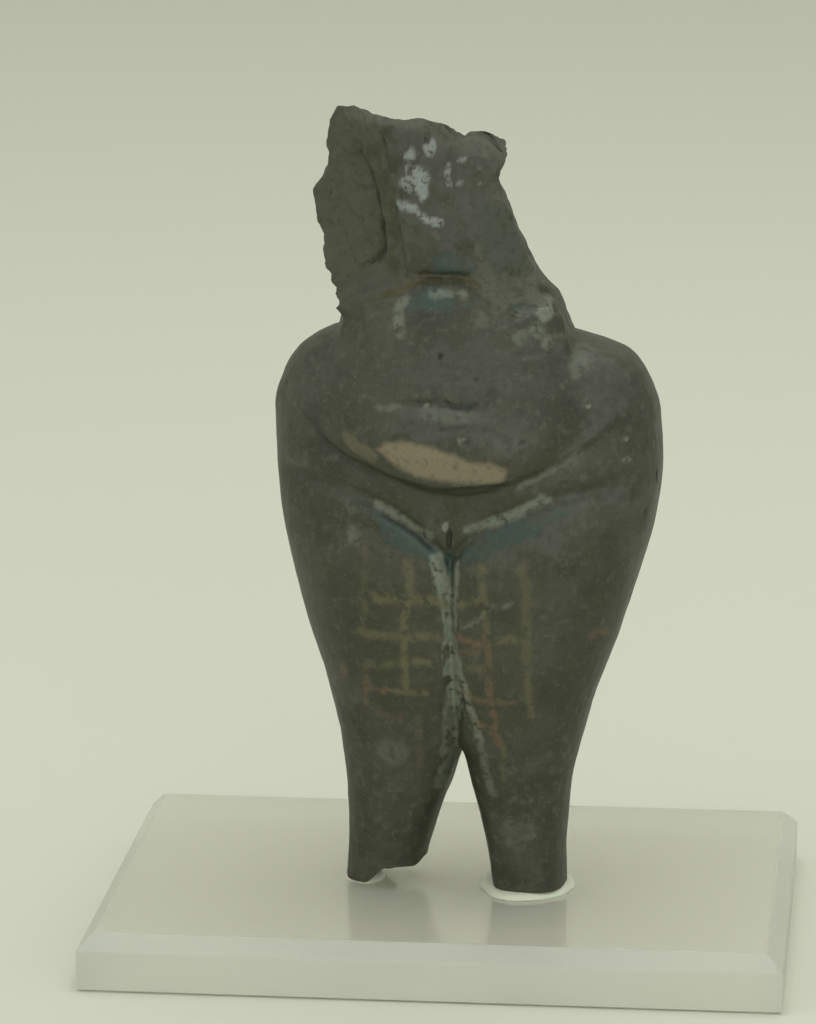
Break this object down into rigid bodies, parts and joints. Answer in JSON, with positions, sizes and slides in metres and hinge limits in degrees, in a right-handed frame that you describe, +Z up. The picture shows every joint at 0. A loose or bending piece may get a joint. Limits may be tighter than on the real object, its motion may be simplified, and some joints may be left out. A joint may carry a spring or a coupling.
{
  "type": "mother goddess figurine",
  "caption": "Broken terracotta mother goddess figurine, wide hips tapering to two leg stumps, chest broken off, standing on two wax pads on a clear bevelled base.",
  "frame": {"origin": "centre of the display base's underside", "axes": "+Z up along the figure, -Y the way the base's long front edge and the figure's front face, +X to the right of one who looks at the front"},
  "size_m": [0.1, 0.074, 0.1232],
  "materials": {
    "fired_clay": "burnished dark grey-olive fired clay, soft sheen",
    "clear_acrylic": "polished clear acrylic with a faint green edge",
    "wax": "pale museum wax, satin"
  },
  "bodies": {
    "root": {"figurine": "fired_clay", "display_base": "clear_acrylic", "pad_left": "wax", "pad_right": "wax"}
  },
  "joints": []
}
